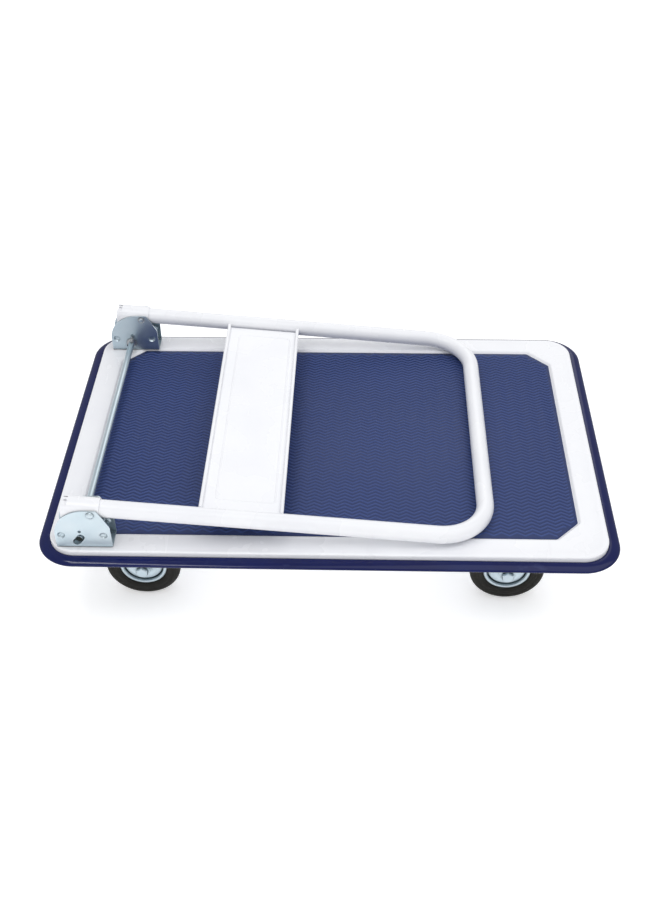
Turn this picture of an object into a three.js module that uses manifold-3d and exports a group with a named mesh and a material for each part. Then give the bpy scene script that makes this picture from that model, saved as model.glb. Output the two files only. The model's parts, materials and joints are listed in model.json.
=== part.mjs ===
// Folding platform trolley: a pressed steel deck on two fixed and two swivel castors, with a
// bent tube handle that folds flat over the deck and locks upright behind a sprung release bar.
//
// Millimetres. +X runs along the deck from the hinge end to the free end, +Z is up, and the
// origin is on the floor under the middle of the deck. The handle is drawn folded.
// The near side is -Y, and each far side piece is the near side piece mirrored in Y.

import * as THREE from 'three';
import { mergeVertices } from 'three/addons/utils/BufferGeometryUtils.js';
import Module from 'manifold-3d';

const wasm = await Module();
wasm.setup();

// ---------------------------------------------------------------- driving dimensions

const GAP = 0.3; // between pieces that touch

const DECK = { length: 886, width: 586, corner: 45, top: 185, depth: 33, sheet: 1.5, edgeRound: 3 };
const RECESS = { depth: 4, bevel: 5 }; // the pressed pan that the mat lies in
const MAT = { length: 798, width: 499, chamfer: 37, thick: 2 };
const BUMPER = { proud: 19, height: 11, below: 9 }; // below: from the deck's top to the bumper

const CHANNEL = { web: 116, flange: 14, sheet: 2, length: 564 };
const STIFFENER = { web: 40, flange: 12, sheet: 1.5, height: 15, y: 110, x: [-270, 219] };

const BRACKET = {
  x: -424.5, // the plate's edge at the hinge end
  length: 88,
  sheet: 2,
  gap: 32.6, // between the two plates of one bracket
  backHeight: 26,
  crown: 50, // radius of the plate's round corner
  height: 76,
  topEnd: 70, // where the flat top stops and the slope begins
  frontHeight: 44,
  bend: 2.6,
  rivets: [20, 70],
};
// The pivot's place is measured from the bracket's lower corner at the hinge end.
const PIVOT = { x: 60.5, z: 68, pin: 8, sleeve: 12, head: 13, headHeight: 3.5 };
const PIVOT_CLIP = { diameter: 12, thick: 1.2, pinEnd: 1 }; // pinEnd: the pin beyond the clip
// The radii of the rivet's shank, of its head and of the flat on the head's crown.
const RIVET = { shank: 4, head: 7, crown: 4.2, headHeight: 3.5, rimHeight: 1, sides: 10 };
const SLOT = { upper: [40, 21], lower: [34, 13], width: 12 };
const SPRING_HOLE = { x: 40, z: 33.5, radius: 2.75 };
const BAR = { diameter: 11, length: 567, chamfer: 1, clip: 19, clipThick: 1.5 };
const SPRING = { coil: 5.2, wire: 1.2, wireSides: 5, turns: 4, length: 7, inset: 6 };

const HANDLE = {
  spacing: 532, // between the middles of the two legs
  tube: 28,
  wall: 1.8,
  bend: 80,
  reach: 632, // from the pivot to the outside of the cross tube
  tail: 46, // how far the tube goes on past the pivot
};
const SADDLE = { sheet: 1.5, end: 13, sideDown: 9, corner: 14 }; // sheet folded over the tube's tail
const NOTCH = { length: 9, floor: 12 }; // in the tail's top, where the release bar drops in
const PANEL = { start: 163, end: 296, width: 498, sheet: 1.5, rim: 6, rimUp: 7, rimDown: 3 };

const CASTOR_Y = 194;
const CASTOR = {
  height: 155, // floor to the top of the mounting plate
  plate: [104, 84, 3],
  plateCorner: 8,
  holes: [40, 30],
  hole: 9,
  legGap: 40,
  legSheet: 2.5,
  boss: 13,
  axle: 12,
  axleHead: 18,
  axleHeadHeight: 6,
  axleNutHeight: 8,
  axleEnd: 3, // the axle beyond its nut
  legShoulder: 20, // how far the leg of a fork stays at its full width
  fixedLegTop: 56, // width of the fixed fork's leg
  swivelLegTop: 40,
};
const FIXED_X = 297;
const SWIVEL = { x: -348, trail: 34, crown: 62, raceHeight: 6 };
const KINGPIN = { diameter: 12, head: 19, headHeight: 5, nutHeight: 7.7, end: 2 };
const WHEEL = { diameter: 125, width: 32, hub: 26, hubLength: 38, bush: 16.5 };
const TYRE = { bead: 6, shoulder: 8 };
const RIM = { diameter: 79, flange: 5, slope: 3, inset: 3.5, webAtHub: 12, webAtGroove: 6 };

const ARC_STEPS = 6; // facets in a quarter of the deck's corners
const BEND_STEPS = 8; // facets in a bend of the handle's tube
const FINE_STEPS = 2; // facets in a quarter of a small corner
const ROUND = 16; // facets in a full turn of a small turned piece
const HOLE_ROUND = 8; // facets in a full turn of a small hole
const WHEEL_ROUND = 20; // facets in a full turn of a wheel

// ---------------------------------------------------------------- sizes that follow from them

const BRACKET_Z = DECK.top + GAP;
const HINGE = { x: BRACKET.x + PIVOT.x, z: BRACKET_Z + PIVOT.z };
const PAN_TOP = DECK.top - RECESS.depth;
const MAT_TOP = PAN_TOP + GAP + MAT.thick;
const TUBE_RADIUS = HANDLE.tube / 2;
const LEG_Y = HANDLE.spacing / 2;
const REST_CLEARANCE = 0.5; // under the cross tube when the handle lies on the mat
const DROP = HINGE.z - TUBE_RADIUS - MAT_TOP - REST_CLEARANCE;
const TILT = Math.asin(DROP / (HANDLE.reach - TUBE_RADIUS));
const OUTER_PLATE = LEG_Y + BRACKET.gap / 2 + BRACKET.sheet; // outer face, as a distance in Y
const INNER_PLATE = LEG_Y - BRACKET.gap / 2 - BRACKET.sheet; // the face towards the middle
const BAR_REST = SLOT.upper.map((value, i) => (value + SLOT.lower[i]) / 2);
const AXLE_DROP = CASTOR.height - WHEEL.diameter / 2; // from the mounting plate's top

// ---------------------------------------------------------------- finishes

function finish(color, roughness, metalness) {
  return new THREE.MeshStandardMaterial({ color, roughness, metalness });
}

const whitePaint = () => finish(0xeef0f2, 0.35, 0);
const bluePvc = () => finish(0x161e5a, 0.25, 0);
const blueMat = () => finish(0x394672, 0.55, 0);
const zinc = () => finish(0xc9d6dc, 0.3, 0.9);
const springSteel = () => finish(0x9aa2a8, 0.35, 0.9);
const blackRubber = () => finish(0x2e2c2a, 0.75, 0);

// ---------------------------------------------------------------- geometry helpers

const X = new THREE.Vector3(1, 0, 0);
const Y = new THREE.Vector3(0, 1, 0);
const Z = new THREE.Vector3(0, 0, 1);

function toSolid(geometry) {
  geometry.deleteAttribute('normal');
  geometry.deleteAttribute('uv');
  const merged = mergeVertices(geometry, 1e-4);
  const mesh = new wasm.Mesh({
    numProp: 3,
    vertProperties: new Float32Array(merged.attributes.position.array),
    triVerts: new Uint32Array(merged.index.array),
  });
  return new wasm.Manifold(mesh);
}

function toGeometry(solid) {
  const { vertProperties, triVerts } = solid.getMesh();
  const geometry = new THREE.BufferGeometry();
  geometry.setAttribute('position', new THREE.BufferAttribute(vertProperties, 3));
  geometry.setIndex(new THREE.BufferAttribute(triVerts, 1));
  geometry.computeVertexNormals();
  return geometry;
}

function join(first, ...rest) {
  return toGeometry(rest.reduce((all, next) => all.add(toSolid(next)), toSolid(first)));
}

function cut(first, ...rest) {
  return toGeometry(rest.reduce((all, next) => all.subtract(toSolid(next)), toSolid(first)));
}

function common(first, second) {
  return toGeometry(toSolid(first).intersect(toSolid(second)));
}

function box(low, high) {
  const size = high.map((value, i) => value - low[i]);
  const middle = high.map((value, i) => (value + low[i]) / 2);
  return new THREE.BoxGeometry(...size).translate(...middle);
}

// An outline drawn in the two axes across the extrusion, pulled from low to high along axis.
function prism(outline, axis, low, high, curveSegments = ARC_STEPS) {
  const depth = high - low;
  const geometry = new THREE.ExtrudeGeometry(outline, { depth, bevelEnabled: false, curveSegments });
  if (axis === 'x') {
    geometry.applyMatrix4(new THREE.Matrix4().makeBasis(Y, Z, X));
    return geometry.translate(low, 0, 0);
  }
  if (axis === 'y') {
    geometry.applyMatrix4(new THREE.Matrix4().makeBasis(X, Z, Y.clone().negate()));
    return geometry.translate(0, high, 0);
  }
  return geometry.translate(0, 0, low);
}

function rod(radius, low, high, sides = ROUND) {
  const length = high - low;
  return new THREE.CylinderGeometry(radius, radius, length, sides).translate(0, low + length / 2, 0);
}

function upright(geometry) {
  return geometry.rotateX(Math.PI / 2); // turns a piece made about Y to stand along Z
}

function hexRadius(acrossFlats) {
  return acrossFlats / Math.sqrt(3);
}

// A profile of [radius, height] points turned about Y.
function lathe(profile, sides = ROUND) {
  return new THREE.LatheGeometry(profile.map(([r, y]) => new THREE.Vector2(r, y)), sides);
}

// A ring about Y with a square section.
function collar(inner, outer, low, high) {
  return lathe([[inner, low], [outer, low], [outer, high], [inner, high], [inner, low]]);
}

function hexNut(acrossFlats, hole, low, high) {
  const body = rod(hexRadius(acrossFlats), low, high, 6);
  return cut(body, rod(hole / 2 + GAP, low - 1, high + 1));
}

// A round-headed pin along Y, its head's flat underside at headAt and its tip at tip.
function domePin(headDiameter, headHeight, diameter, headAt, tip) {
  const steps = 4;
  const profile = [[0, headAt - headHeight]];
  for (let step = 1; step <= steps; step += 1) {
    const angle = (step / steps) * (Math.PI / 2);
    profile.push([(headDiameter / 2) * Math.sin(angle), headAt - headHeight * Math.cos(angle)]);
  }
  profile.push([diameter / 2, headAt], [diameter / 2, tip], [0, tip]);
  return lathe(profile);
}

// A bolt along Y whose head lies between headLow and headHigh, with its tip on either side.
function hexBolt(acrossFlats, headLow, headHigh, diameter, tip) {
  const overlap = 1;
  const shankLow = Math.min(tip, headHigh - overlap);
  const shankHigh = Math.max(tip, headLow + overlap);
  return join(
    rod(hexRadius(acrossFlats), headLow, headHigh, 6),
    rod(diameter / 2, shankLow, shankHigh),
  );
}

// Points round a rectangle with rounded corners, grown outwards by grow.
function roundedOutline(length, width, corner, grow, steps = ARC_STEPS) {
  const points = [];
  const centres = [[1, 1], [-1, 1], [-1, -1], [1, -1]];
  centres.forEach(([sx, sy], quarter) => {
    for (let step = 0; step <= steps; step += 1) {
      const angle = (quarter + step / steps) * (Math.PI / 2);
      const radius = corner + grow;
      points.push([
        sx * (length / 2 - corner) + radius * Math.cos(angle),
        sy * (width / 2 - corner) + radius * Math.sin(angle),
      ]);
    }
  });
  return points;
}

// Points round the mat's eight-sided outline, grown outwards by grow.
function matOutline(grow) {
  const x = MAT.length / 2 + grow;
  const y = MAT.width / 2 + grow;
  const c = MAT.chamfer + grow * (2 - Math.SQRT2);
  return [
    [x, y - c], [x - c, y], [-x + c, y], [-x, y - c],
    [-x, -y + c], [-x + c, -y], [x - c, -y], [x, -y + c],
  ];
}

// Skin through a stack of convex outlines, closed by a cap at each end or, for a ring, onto
// itself. A cap is a fan of triangles about the outline's first point.
function skin(layers, ring = false) {
  const count = layers[0].outline.length;
  const position = layers.flatMap(({ outline, z }) => outline.flatMap(([x, y]) => [x, y, z]));
  const index = [];
  const spans = ring ? layers.length : layers.length - 1;
  for (let layer = 0; layer < spans; layer += 1) {
    const above = (layer + 1) % layers.length;
    for (let i = 0; i < count; i += 1) {
      const next = (i + 1) % count;
      const [a, b] = [layer * count + i, layer * count + next];
      const [c, d] = [above * count + i, above * count + next];
      index.push(a, b, d, a, d, c);
    }
  }
  if (!ring) {
    const top = (layers.length - 1) * count;
    for (let i = 1; i < count - 1; i += 1) {
      index.push(0, i + 1, i);
      index.push(top, top + i, top + i + 1);
    }
  }
  const geometry = new THREE.BufferGeometry();
  geometry.setAttribute('position', new THREE.Float32BufferAttribute(position, 3));
  geometry.setIndex(index);
  geometry.computeVertexNormals();
  return geometry;
}

function outlineShape(points) {
  return new THREE.Shape(points.map(([x, y]) => new THREE.Vector2(x, y)));
}

function regularPolygon(radius, sides) {
  const points = [];
  for (let i = 0; i < sides; i += 1) {
    const angle = (i / sides) * 2 * Math.PI;
    points.push([radius * Math.cos(angle), radius * Math.sin(angle)]);
  }
  return outlineShape(points);
}

// A path through given stations, with one extrusion step from each station to the next.
class StationPath extends THREE.Curve {
  constructor(stations) {
    super();
    this.stations = stations;
  }

  getPoint(t, target = new THREE.Vector3()) {
    const place = t * (this.stations.length - 1);
    const i = Math.min(Math.floor(place), this.stations.length - 2);
    return target.lerpVectors(this.stations[i], this.stations[i + 1], place - i);
  }

  getPointAt(u, target) {
    return this.getPoint(u, target);
  }

  getTangentAt(u, target) {
    return this.getTangent(u, target);
  }
}

function sweep(section, stations) {
  return new THREE.ExtrudeGeometry(section, {
    extrudePath: new StationPath(stations),
    steps: stations.length - 1,
    bevelEnabled: false,
    curveSegments: ROUND / 2,
  });
}

// ---------------------------------------------------------------- scene helpers

const trolley = new THREE.Group();

function add(parent, name, geometry, material) {
  const mesh = new THREE.Mesh(geometry, material);
  mesh.name = name;
  parent.add(mesh);
  return mesh;
}

// Runs build once for the near side and once, mirrored, for the far side.
function onBothSides(build) {
  for (const side of ['near', 'far']) {
    const half = new THREE.Group();
    half.scale.y = side === 'near' ? 1 : -1;
    trolley.add(half);
    build(half, side);
  }
}

// ---------------------------------------------------------------- deck

function deckOutline(grow) {
  return roundedOutline(DECK.length, DECK.width, DECK.corner, grow);
}

function deckPanel() {
  const { top, depth, sheet, edgeRound } = DECK;
  const low = top - depth;
  const halfRound = edgeRound * (1 - Math.SQRT1_2);
  const shell = skin([
    { outline: deckOutline(0), z: low },
    { outline: deckOutline(0), z: top - edgeRound },
    { outline: deckOutline(-halfRound), z: top - halfRound },
    { outline: deckOutline(-edgeRound), z: top },
  ]);
  const hollow = skin([
    { outline: deckOutline(-sheet), z: low - 1 },
    { outline: deckOutline(-sheet), z: top - edgeRound },
    { outline: deckOutline(-edgeRound), z: top - sheet },
  ]);
  const pan = skin([
    { outline: matOutline(sheet), z: PAN_TOP - sheet },
    { outline: matOutline(sheet + RECESS.bevel), z: top - sheet + 0.5 },
  ]);
  const recess = skin([
    { outline: matOutline(GAP), z: PAN_TOP },
    { outline: matOutline(RECESS.bevel), z: top },
    { outline: matOutline(RECESS.bevel), z: top + 1 },
  ]);
  const openShell = cut(shell, hollow);
  const rivetHoles = [];
  for (const y of [-LEG_Y, LEG_Y]) {
    for (const along of BRACKET.rivets) {
      const hole = upright(rod(RIVET.shank + GAP, -depth, depth));
      hole.translate(BRACKET.x + along, y, top);
      rivetHoles.push(hole);
    }
  }
  return cut(join(openShell, pan), recess, ...rivetHoles);
}

// The mat's outline starts at a point on its far edge, level with another on its near edge, so
// that the face beyond the folded handle is made of triangles of its own.
function deckMat() {
  const beyondHandle = 275;
  const edge = MAT.width / 2;
  const corners = matOutline(0);
  const hingeEnd = corners.slice(2, 6);
  const freeEnd = [...corners.slice(6), ...corners.slice(0, 2)];
  const outline = [[beyondHandle, edge], ...hingeEnd, [beyondHandle, -edge], ...freeEnd];
  const low = PAN_TOP + GAP;
  return skin([{ outline, z: low }, { outline, z: low + MAT.thick }]);
}

// A D-shaped section, flat against the deck's skirt, swept round the deck.
function edgeBumper() {
  const { proud, height, below } = BUMPER;
  const high = DECK.top - below;
  const low = high - height;
  const flat = 3; // length of the straight sides before the round nose
  const steps = 6;
  const profile = [[GAP, low], [flat, low]];
  for (let step = 1; step < steps; step += 1) {
    const angle = -Math.PI / 2 + (step / steps) * Math.PI;
    const out = flat + (proud - flat) * Math.cos(angle);
    profile.push([out, low + height / 2 + (height / 2) * Math.sin(angle)]);
  }
  profile.push([flat, high], [GAP, high]);
  return skin(profile.map(([out, z]) => ({ outline: deckOutline(out), z })), true);
}

// A hat section whose open side is up, with its flanges turned out at the top.
function hatOutline(web, height, flange, sheet, low) {
  const inner = web / 2 - sheet;
  const outer = web / 2;
  const high = low + height;
  return outlineShape([
    [-outer - flange, high], [-outer - flange, high - sheet], [-outer, high - sheet],
    [-outer, low], [outer, low], [outer, high - sheet],
    [outer + flange, high - sheet], [outer + flange, high], [inner, high],
    [inner, low + sheet], [-inner, low + sheet], [-inner, high],
  ]);
}

const CHANNEL_TOP = PAN_TOP - DECK.sheet - GAP;
const CHANNEL_LOW = CASTOR.height + GAP;

function plateHoles(low, high) {
  const [dx, dy] = CASTOR.holes;
  const holes = [];
  for (const [x, y] of [[-dx, -dy], [dx, -dy], [dx, dy], [-dx, dy]]) {
    holes.push(upright(rod(CASTOR.hole / 2, low, high, HOLE_ROUND)).translate(x, y, 0));
  }
  return holes;
}

function castorChannel(kingpinHole) {
  const { web, flange, sheet, length } = CHANNEL;
  const outline = hatOutline(web, CHANNEL_TOP - CHANNEL_LOW, flange, sheet, CHANNEL_LOW);
  const nutClearance = 2;
  const openings = [];
  for (const y of [-CASTOR_Y, CASTOR_Y]) {
    const group = plateHoles(-sheet * 2, sheet * 2);
    if (kingpinHole) {
      group.push(upright(rod(hexRadius(KINGPIN.head) + nutClearance, -sheet * 2, sheet * 2)));
    }
    group.forEach((hole) => openings.push(hole.translate(0, y, CHANNEL_LOW)));
  }
  return cut(prism(outline, 'y', -length / 2, length / 2), ...openings);
}

function stiffener() {
  const { web, flange, sheet, height, x } = STIFFENER;
  const outline = hatOutline(web, height, flange, sheet, CHANNEL_TOP - height);
  return prism(outline, 'x', ...x);
}

function buildDeck() {
  add(trolley, 'deck_panel', deckPanel(), whitePaint());
  add(trolley, 'deck_mat', deckMat(), blueMat());
  add(trolley, 'edge_bumper', edgeBumper(), bluePvc());
  add(trolley, 'swivel_castor_channel', castorChannel(true), whitePaint()).position.x = SWIVEL.x;
  add(trolley, 'fixed_castor_channel', castorChannel(false), whitePaint()).position.x = FIXED_X;
  onBothSides((half, side) => {
    add(half, `deck_stiffener_${side}`, stiffener(), whitePaint()).position.y = -STIFFENER.y;
  });
}

// ---------------------------------------------------------------- hinge brackets and release bar

function bracketSide() {
  const { length, backHeight, crown, height, topEnd, frontHeight } = BRACKET;
  const outline = new THREE.Shape();
  outline.moveTo(0, 0);
  outline.lineTo(length, 0);
  outline.lineTo(length, frontHeight);
  outline.lineTo(topEnd, height);
  outline.lineTo(crown, height);
  outline.absarc(crown, backHeight, crown, Math.PI / 2, Math.PI, false);
  outline.lineTo(0, 0);
  return outline;
}

// The bracket's section across the trolley: a base and two upright plates, with round bends.
function bracketSection() {
  const { gap, sheet, bend, height } = BRACKET;
  const half = gap / 2;
  const outer = half + sheet;
  const inside = bend - sheet;
  const outline = new THREE.Shape();
  outline.moveTo(-outer, height);
  outline.lineTo(-outer, bend);
  outline.absarc(-outer + bend, bend, bend, Math.PI, 1.5 * Math.PI, false);
  outline.lineTo(outer - bend, 0);
  outline.absarc(outer - bend, bend, bend, 1.5 * Math.PI, 2 * Math.PI, false);
  outline.lineTo(outer, height);
  outline.lineTo(half, height);
  outline.lineTo(half, bend);
  outline.absarc(half - inside, bend, inside, 2 * Math.PI, 1.5 * Math.PI, true);
  outline.lineTo(-half + inside, sheet);
  outline.absarc(-half + inside, bend, inside, 1.5 * Math.PI, Math.PI, true);
  outline.lineTo(-half, height);
  return outline;
}

function slotOutline() {
  const [ux, uz] = SLOT.upper;
  const [lx, lz] = SLOT.lower;
  const radius = SLOT.width / 2;
  const heading = Math.atan2(uz - lz, ux - lx);
  const outline = new THREE.Shape();
  outline.absarc(ux, uz, radius, heading - Math.PI / 2, heading + Math.PI / 2, false);
  outline.absarc(lx, lz, radius, heading + Math.PI / 2, heading + 1.5 * Math.PI, false);
  return outline;
}

function bracket() {
  const half = BRACKET.gap / 2 + BRACKET.sheet;
  const reach = half + 1;
  const formed = common(
    prism(bracketSection(), 'x', 0, BRACKET.length, FINE_STEPS),
    prism(bracketSide(), 'y', -reach, reach),
  );
  const pivotHole = rod(PIVOT.pin / 2 + GAP, -reach, reach).translate(PIVOT.x, 0, PIVOT.z);
  const springHole = rod(SPRING_HOLE.radius, -reach, reach, HOLE_ROUND);
  springHole.translate(SPRING_HOLE.x, 0, SPRING_HOLE.z);
  const slot = prism(slotOutline(), 'y', -reach, reach);
  const rivetHoles = BRACKET.rivets.map((x) => {
    const hole = upright(rod(RIVET.shank + GAP, -BRACKET.sheet, BRACKET.sheet * 2));
    return hole.translate(x, 0, 0);
  });
  return cut(formed, pivotHole, springHole, slot, ...rivetHoles);
}

// A rivet through the bracket's base and the deck's border, round-headed at both ends.
function rivet() {
  const { shank, head, headHeight, rimHeight, crown, sides } = RIVET;
  const upper = BRACKET.sheet + GAP * 2;
  const lower = -DECK.sheet - GAP * 2;
  return upright(lathe([
    [0, lower - headHeight], [crown, lower - headHeight], [head, lower - rimHeight],
    [head, lower], [shank, lower], [shank, upper], [head, upper],
    [head, upper + rimHeight], [crown, upper + headHeight], [0, upper + headHeight],
  ], sides));
}

function springStations() {
  const perTurn = 8;
  const steps = SPRING.turns * perTurn;
  const radius = SPRING.coil / 2;
  const stations = [];
  for (let step = 0; step <= steps; step += 1) {
    const angle = (step / perTurn) * 2 * Math.PI;
    const along = (step / steps) * SPRING.length;
    stations.push(new THREE.Vector3(radius * Math.cos(angle), radius * Math.sin(angle), along));
  }
  return stations;
}

function releaseBar() {
  const radius = BAR.diameter / 2;
  const half = BAR.length / 2;
  const { chamfer } = BAR;
  return lathe([
    [0, -half], [radius - chamfer, -half], [radius, -half + chamfer],
    [radius, half - chamfer], [radius - chamfer, half], [0, half],
  ]);
}

function buildHinges() {
  const barX = BRACKET.x + BAR_REST[0];
  const barZ = BRACKET_Z + BAR_REST[1];
  onBothSides((half, side) => {
    const base = new THREE.Group();
    base.position.set(BRACKET.x, -LEG_Y, BRACKET_Z);
    half.add(base);
    add(base, `hinge_bracket_${side}`, bracket(), zinc());
    BRACKET.rivets.forEach((x, i) => {
      add(base, `bracket_rivet_${side}_${i + 1}`, rivet(), zinc()).position.x = x;
    });

    const hinge = new THREE.Group();
    hinge.position.set(HINGE.x, 0, HINGE.z);
    half.add(hinge);
    const clipLow = -INNER_PLATE + GAP;
    const pinClipHigh = clipLow + PIVOT_CLIP.thick;
    const pin = domePin(
      PIVOT.head, PIVOT.headHeight, PIVOT.pin, -OUTER_PLATE - GAP, pinClipHigh + PIVOT_CLIP.pinEnd,
    );
    add(hinge, `pivot_pin_${side}`, pin, zinc());
    const pinClip = collar(PIVOT.pin / 2 + GAP, PIVOT_CLIP.diameter / 2, clipLow, pinClipHigh);
    add(hinge, `pivot_clip_${side}`, pinClip, springSteel());
    const sleeveHalf = BRACKET.gap / 2 - GAP;
    const sleeve = collar(
      PIVOT.pin / 2 + GAP, PIVOT.sleeve / 2, -LEG_Y - sleeveHalf, -LEG_Y + sleeveHalf,
    );
    add(hinge, `pivot_sleeve_${side}`, sleeve, zinc());

    const spring = sweep(regularPolygon(SPRING.wire / 2, SPRING.wireSides), springStations());
    const coil = add(half, `return_spring_${side}`, spring, springSteel());
    const lean = Math.atan2(SPRING_HOLE.x - BAR_REST[0], SPRING_HOLE.z - BAR_REST[1]);
    const foot = BAR.diameter / 2 + SPRING.wire + GAP;
    coil.position.set(
      barX + foot * Math.sin(lean), -INNER_PLATE + SPRING.inset, barZ + foot * Math.cos(lean),
    );
    coil.rotation.y = lean;

    const clip = collar(
      BAR.diameter / 2 + GAP, BAR.clip / 2, clipLow, clipLow + BAR.clipThick,
    );
    add(half, `release_bar_clip_${side}`, clip, springSteel()).position.set(barX, 0, barZ);
  });
  add(trolley, 'release_bar', releaseBar(), zinc()).position.set(barX, 0, barZ);
}

// ---------------------------------------------------------------- handle

// Middle line of the bent tube, in the handle's own frame: the pivot is the origin, +X runs
// along the legs.
function handleStations() {
  const { reach, tail, bend } = HANDLE;
  const crossX = reach - TUBE_RADIUS;
  const stations = [new THREE.Vector3(-tail, -LEG_Y, 0)];
  for (const [side, start] of [[-1, -Math.PI / 2], [1, 0]]) {
    for (let step = 0; step <= BEND_STEPS; step += 1) {
      const angle = start + (step / BEND_STEPS) * (Math.PI / 2);
      const x = crossX - bend + bend * Math.cos(angle);
      const y = side * (LEG_Y - bend) + bend * Math.sin(angle);
      stations.push(new THREE.Vector3(x, y, 0));
    }
  }
  stations.push(new THREE.Vector3(-tail, LEG_Y, 0));
  return stations;
}

function handleTube() {
  const section = new THREE.Shape();
  section.absarc(0, 0, TUBE_RADIUS, 0, 2 * Math.PI, false);
  const bore = new THREE.Path();
  bore.absarc(0, 0, TUBE_RADIUS - HANDLE.wall, 0, 2 * Math.PI, true);
  section.holes.push(bore);
  return cut(sweep(section, handleStations()), sleeveHole(), tailNotch());
}

// Both of these cut right across the two legs of the handle.
function sleeveHole() {
  return rod(PIVOT.sleeve / 2 + GAP, -HANDLE.spacing, HANDLE.spacing);
}

function tailNotch() {
  const across = HANDLE.spacing;
  const start = -HANDLE.tail - 1;
  const end = NOTCH.length - HANDLE.tail;
  return box([start, -across, NOTCH.floor], [end, across, HANDLE.tube]);
}

// A sheet folded over the top and both sides of the tube's tail, to stiffen it at the pivot.
function tailSaddle() {
  const { sheet, end, sideDown, corner } = SADDLE;
  const inner = TUBE_RADIUS + GAP;
  const outer = inner + sheet;
  const inside = corner - sheet;
  const outline = new THREE.Shape();
  outline.moveTo(-LEG_Y - outer, -sideDown);
  outline.lineTo(-LEG_Y - inner, -sideDown);
  outline.lineTo(-LEG_Y - inner, inner - inside);
  outline.absarc(-LEG_Y - inner + inside, inner - inside, inside, Math.PI, Math.PI / 2, true);
  outline.lineTo(-LEG_Y + inner - inside, inner);
  outline.absarc(-LEG_Y + inner - inside, inner - inside, inside, Math.PI / 2, 0, true);
  outline.lineTo(-LEG_Y + inner, -sideDown);
  outline.lineTo(-LEG_Y + outer, -sideDown);
  outline.lineTo(-LEG_Y + outer, outer - corner);
  outline.absarc(-LEG_Y + outer - corner, outer - corner, corner, 0, Math.PI / 2, false);
  outline.lineTo(-LEG_Y - outer + corner, outer);
  outline.absarc(-LEG_Y - outer + corner, outer - corner, corner, Math.PI / 2, Math.PI, false);
  const folded = prism(outline, 'x', -HANDLE.tail, end);
  return cut(folded, sleeveHole(), tailNotch());
}

// A flat sheet between the legs, with a folded rim along each of its two long edges.
function handlePanel() {
  const { start, end, width, sheet, rim, rimUp, rimDown } = PANEL;
  const weldY = LEG_Y - TUBE_RADIUS - GAP; // the rims reach the legs, where they are welded
  return join(
    box([start, -width / 2, -sheet / 2], [end, width / 2, sheet / 2]),
    box([start, -weldY, -rimDown], [start + rim, weldY, rimUp]),
    box([end - rim, -weldY, -rimDown], [end, weldY, rimUp]),
  );
}

function buildHandle() {
  const handle = new THREE.Group();
  handle.position.set(HINGE.x, 0, HINGE.z);
  handle.rotation.y = TILT;
  trolley.add(handle);
  add(handle, 'handle_tube', handleTube(), whitePaint());
  add(handle, 'handle_panel', handlePanel(), whitePaint());
  for (const [side, mirror] of [['near', 1], ['far', -1]]) {
    add(handle, `handle_saddle_${side}`, tailSaddle(), whitePaint()).scale.y = mirror;
  }
}

// ---------------------------------------------------------------- castors

// Each castor's frame has its origin at the middle of the mounting plate's top, on the kingpin
// of a swivel castor. The wheel's axle is AXLE_DROP below and, on a swivel castor, trail behind.

function castorPlate(kingpinHole) {
  const { plate: [length, width, sheet], plateCorner: corner } = CASTOR;
  const flat = outlineShape(roundedOutline(length, width, corner, 0, FINE_STEPS));
  const openings = plateHoles(-sheet * 2, sheet);
  if (kingpinHole) {
    openings.push(upright(rod(KINGPIN.diameter / 2 + GAP, -sheet * 2, sheet)));
  }
  return cut(prism(flat, 'z', -sheet, 0), ...openings);
}

// The two legs of a fork, from a given width at the top to the round boss about the axle.
function forkLegs(top, topWidth, trail) {
  const { legGap, legSheet, legShoulder, boss, axle } = CASTOR;
  const halfTop = topWidth / 2;
  const outline = new THREE.Shape();
  outline.moveTo(-halfTop, top);
  outline.lineTo(-halfTop, top - legShoulder);
  outline.lineTo(trail - boss, -AXLE_DROP);
  outline.absarc(trail, -AXLE_DROP, boss, Math.PI, 2 * Math.PI, false);
  outline.lineTo(Math.max(halfTop, trail - boss), top - legShoulder);
  outline.lineTo(halfTop, top);
  const hole = new THREE.Path();
  hole.absarc(trail, -AXLE_DROP, axle / 2 + GAP, 0, 2 * Math.PI, true);
  outline.holes.push(hole);
  const inner = legGap / 2;
  return [
    prism(outline, 'y', -inner - legSheet, -inner),
    prism(outline, 'y', inner, inner + legSheet),
  ];
}

function fixedFork() {
  const overlap = 1;
  return join(castorPlate(false), ...forkLegs(-overlap, CASTOR.fixedLegTop, 0));
}

const RACE_TOP = -CASTOR.plate[2] - GAP;
const CROWN_TOP = RACE_TOP - SWIVEL.raceHeight - GAP;
const CROWN_LOW = CROWN_TOP - CASTOR.legSheet;

function swivelFork() {
  const crown = upright(rod(SWIVEL.crown / 2, CROWN_LOW, CROWN_TOP, WHEEL_ROUND));
  const body = join(crown, ...forkLegs(CROWN_TOP, CASTOR.swivelLegTop, SWIVEL.trail));
  const hole = upright(rod(KINGPIN.diameter / 2 + GAP, CROWN_LOW - 1, CROWN_TOP + 1));
  return cut(body, hole);
}

function raceRing() {
  return upright(collar(KINGPIN.diameter, SWIVEL.crown / 2, RACE_TOP - SWIVEL.raceHeight, RACE_TOP));
}

function kingpin() {
  const { diameter, head, headHeight, nutHeight, end } = KINGPIN;
  const headHigh = CROWN_LOW - GAP;
  const tip = GAP + nutHeight + end;
  return upright(hexBolt(head, headHigh - headHeight, headHigh, diameter, tip));
}

function kingpinNut() {
  return upright(hexNut(KINGPIN.head, KINGPIN.diameter, GAP, GAP + KINGPIN.nutHeight));
}

// A ring whose profile is a half, in [radius, distance from the wheel's middle], and its mirror.
function mirroredLathe(half) {
  const mirror = half.map(([r, y]) => [r, -y]);
  return lathe([...mirror, ...half.slice().reverse(), mirror[0]], WHEEL_ROUND);
}

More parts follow.
